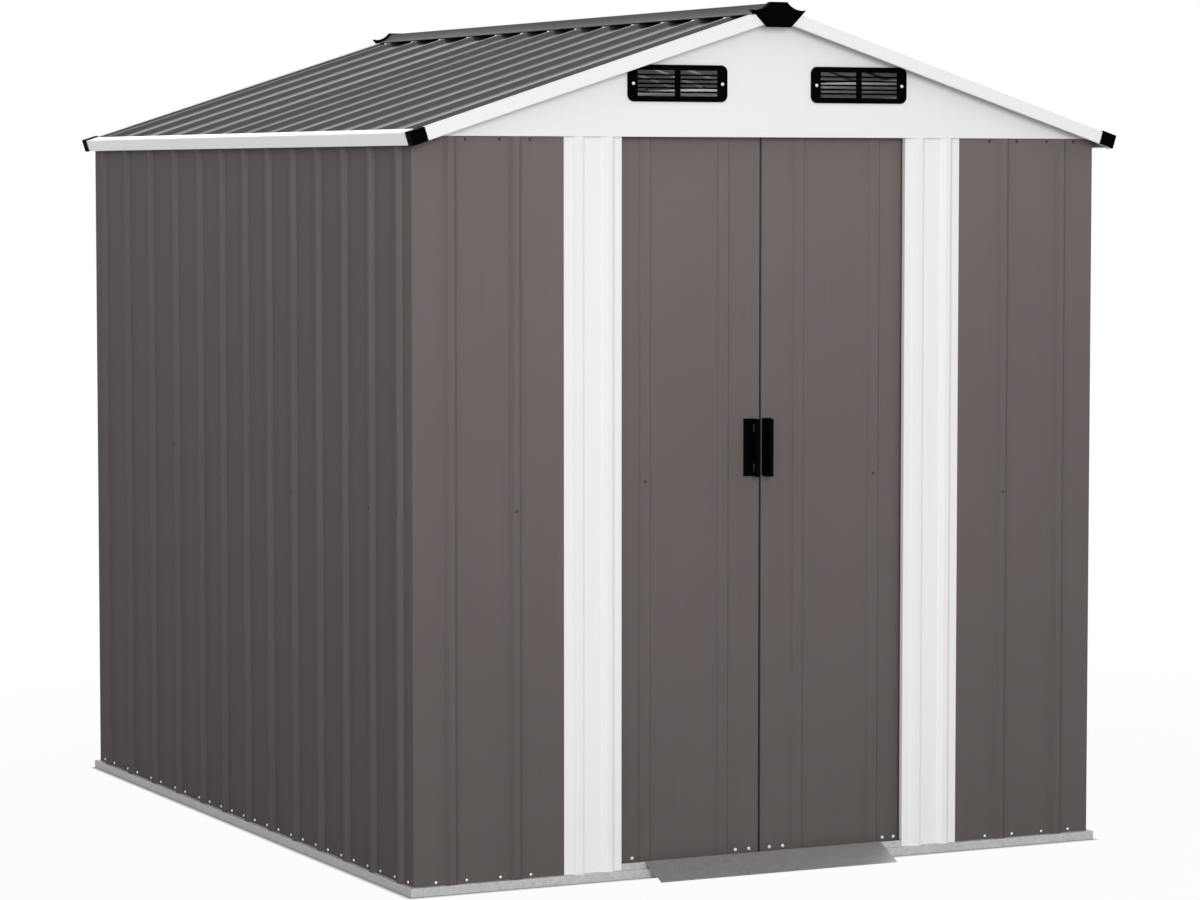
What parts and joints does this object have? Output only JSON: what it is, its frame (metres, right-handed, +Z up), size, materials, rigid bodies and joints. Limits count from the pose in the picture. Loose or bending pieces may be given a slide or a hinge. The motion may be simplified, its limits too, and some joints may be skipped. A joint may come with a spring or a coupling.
{
  "type": "metal tool shed",
  "caption": "Apex metal tool shed of ribbed brown sheet with white strips and gables, a low base rail, a small ramp and sliding front doors",
  "frame": {"origin": "on the ground in the middle of the doorway, in the outer face of the front wall sheets", "axes": "+X to the right seen from the front, +Y from the front wall to the back wall, +Z up"},
  "size_m": [1.757, 2.163, 1.9163],
  "materials": {
    "brown_sheet": "satin baked paint on pressed steel",
    "white_sheet": "satin baked paint on pressed steel",
    "roof_sheet": "satin baked paint on pressed steel",
    "galvanised": "dull zinc-coated steel",
    "black_plastic": "moulded, low sheen",
    "handle_black": "black powder coat"
  },
  "bodies": {
    "shed": {"back_wall_left": "brown_sheet", "back_wall_right": "brown_sheet", "base_rail_back": "galvanised", "base_rail_front": "galvanised", "base_rail_left": "galvanised", "base_rail_right": "galvanised", "corner_caps": "black_plastic", "door_bottom_track": "galvanised", "door_ramp": "galvanised", "door_strip_left": "white_sheet", "door_strip_right": "white_sheet", "door_track": "galvanised", "eave_trim_left": "white_sheet", "eave_trim_right": "white_sheet", "front_gable": "white_sheet", "front_panel_left": "brown_sheet", "front_panel_right": "brown_sheet", "front_rake_left": "white_sheet", "front_rake_right": "white_sheet", "left_wall_front": "brown_sheet", "left_wall_rear": "brown_sheet", "mid_rails": "galvanised", "rear_gable": "white_sheet", "rear_rake_left": "white_sheet", "rear_rake_right": "white_sheet", "ridge_cap": "roof_sheet", "ridge_end_caps": "black_plastic", "right_wall_front": "brown_sheet", "right_wall_rear": "brown_sheet", "roof_beams": "galvanised", "roof_left_front": "roof_sheet", "roof_left_rear": "roof_sheet", "roof_right_front": "roof_sheet", "roof_right_rear": "roof_sheet", "top_rails": "galvanised", "vent_left": "black_plastic", "vent_right": "black_plastic"},
    "left_door": {"left_door": "brown_sheet", "left_door_handle": "handle_black", "left_door_rails": "galvanised", "left_door_runners": "black_plastic"},
    "right_door": {"right_door": "brown_sheet", "right_door_handle": "handle_black", "right_door_rails": "galvanised", "right_door_runners": "black_plastic"}
  },
  "joints": [
    {"name": "left_door_slide", "type": "slide", "parent": "shed", "child": "left_door", "axis": [-1, 0, 0], "range_m": [0, 0.3]},
    {"name": "right_door_slide", "type": "slide", "parent": "shed", "child": "right_door", "axis": [1, 0, 0], "range_m": [0, 0.3]}
  ]
}
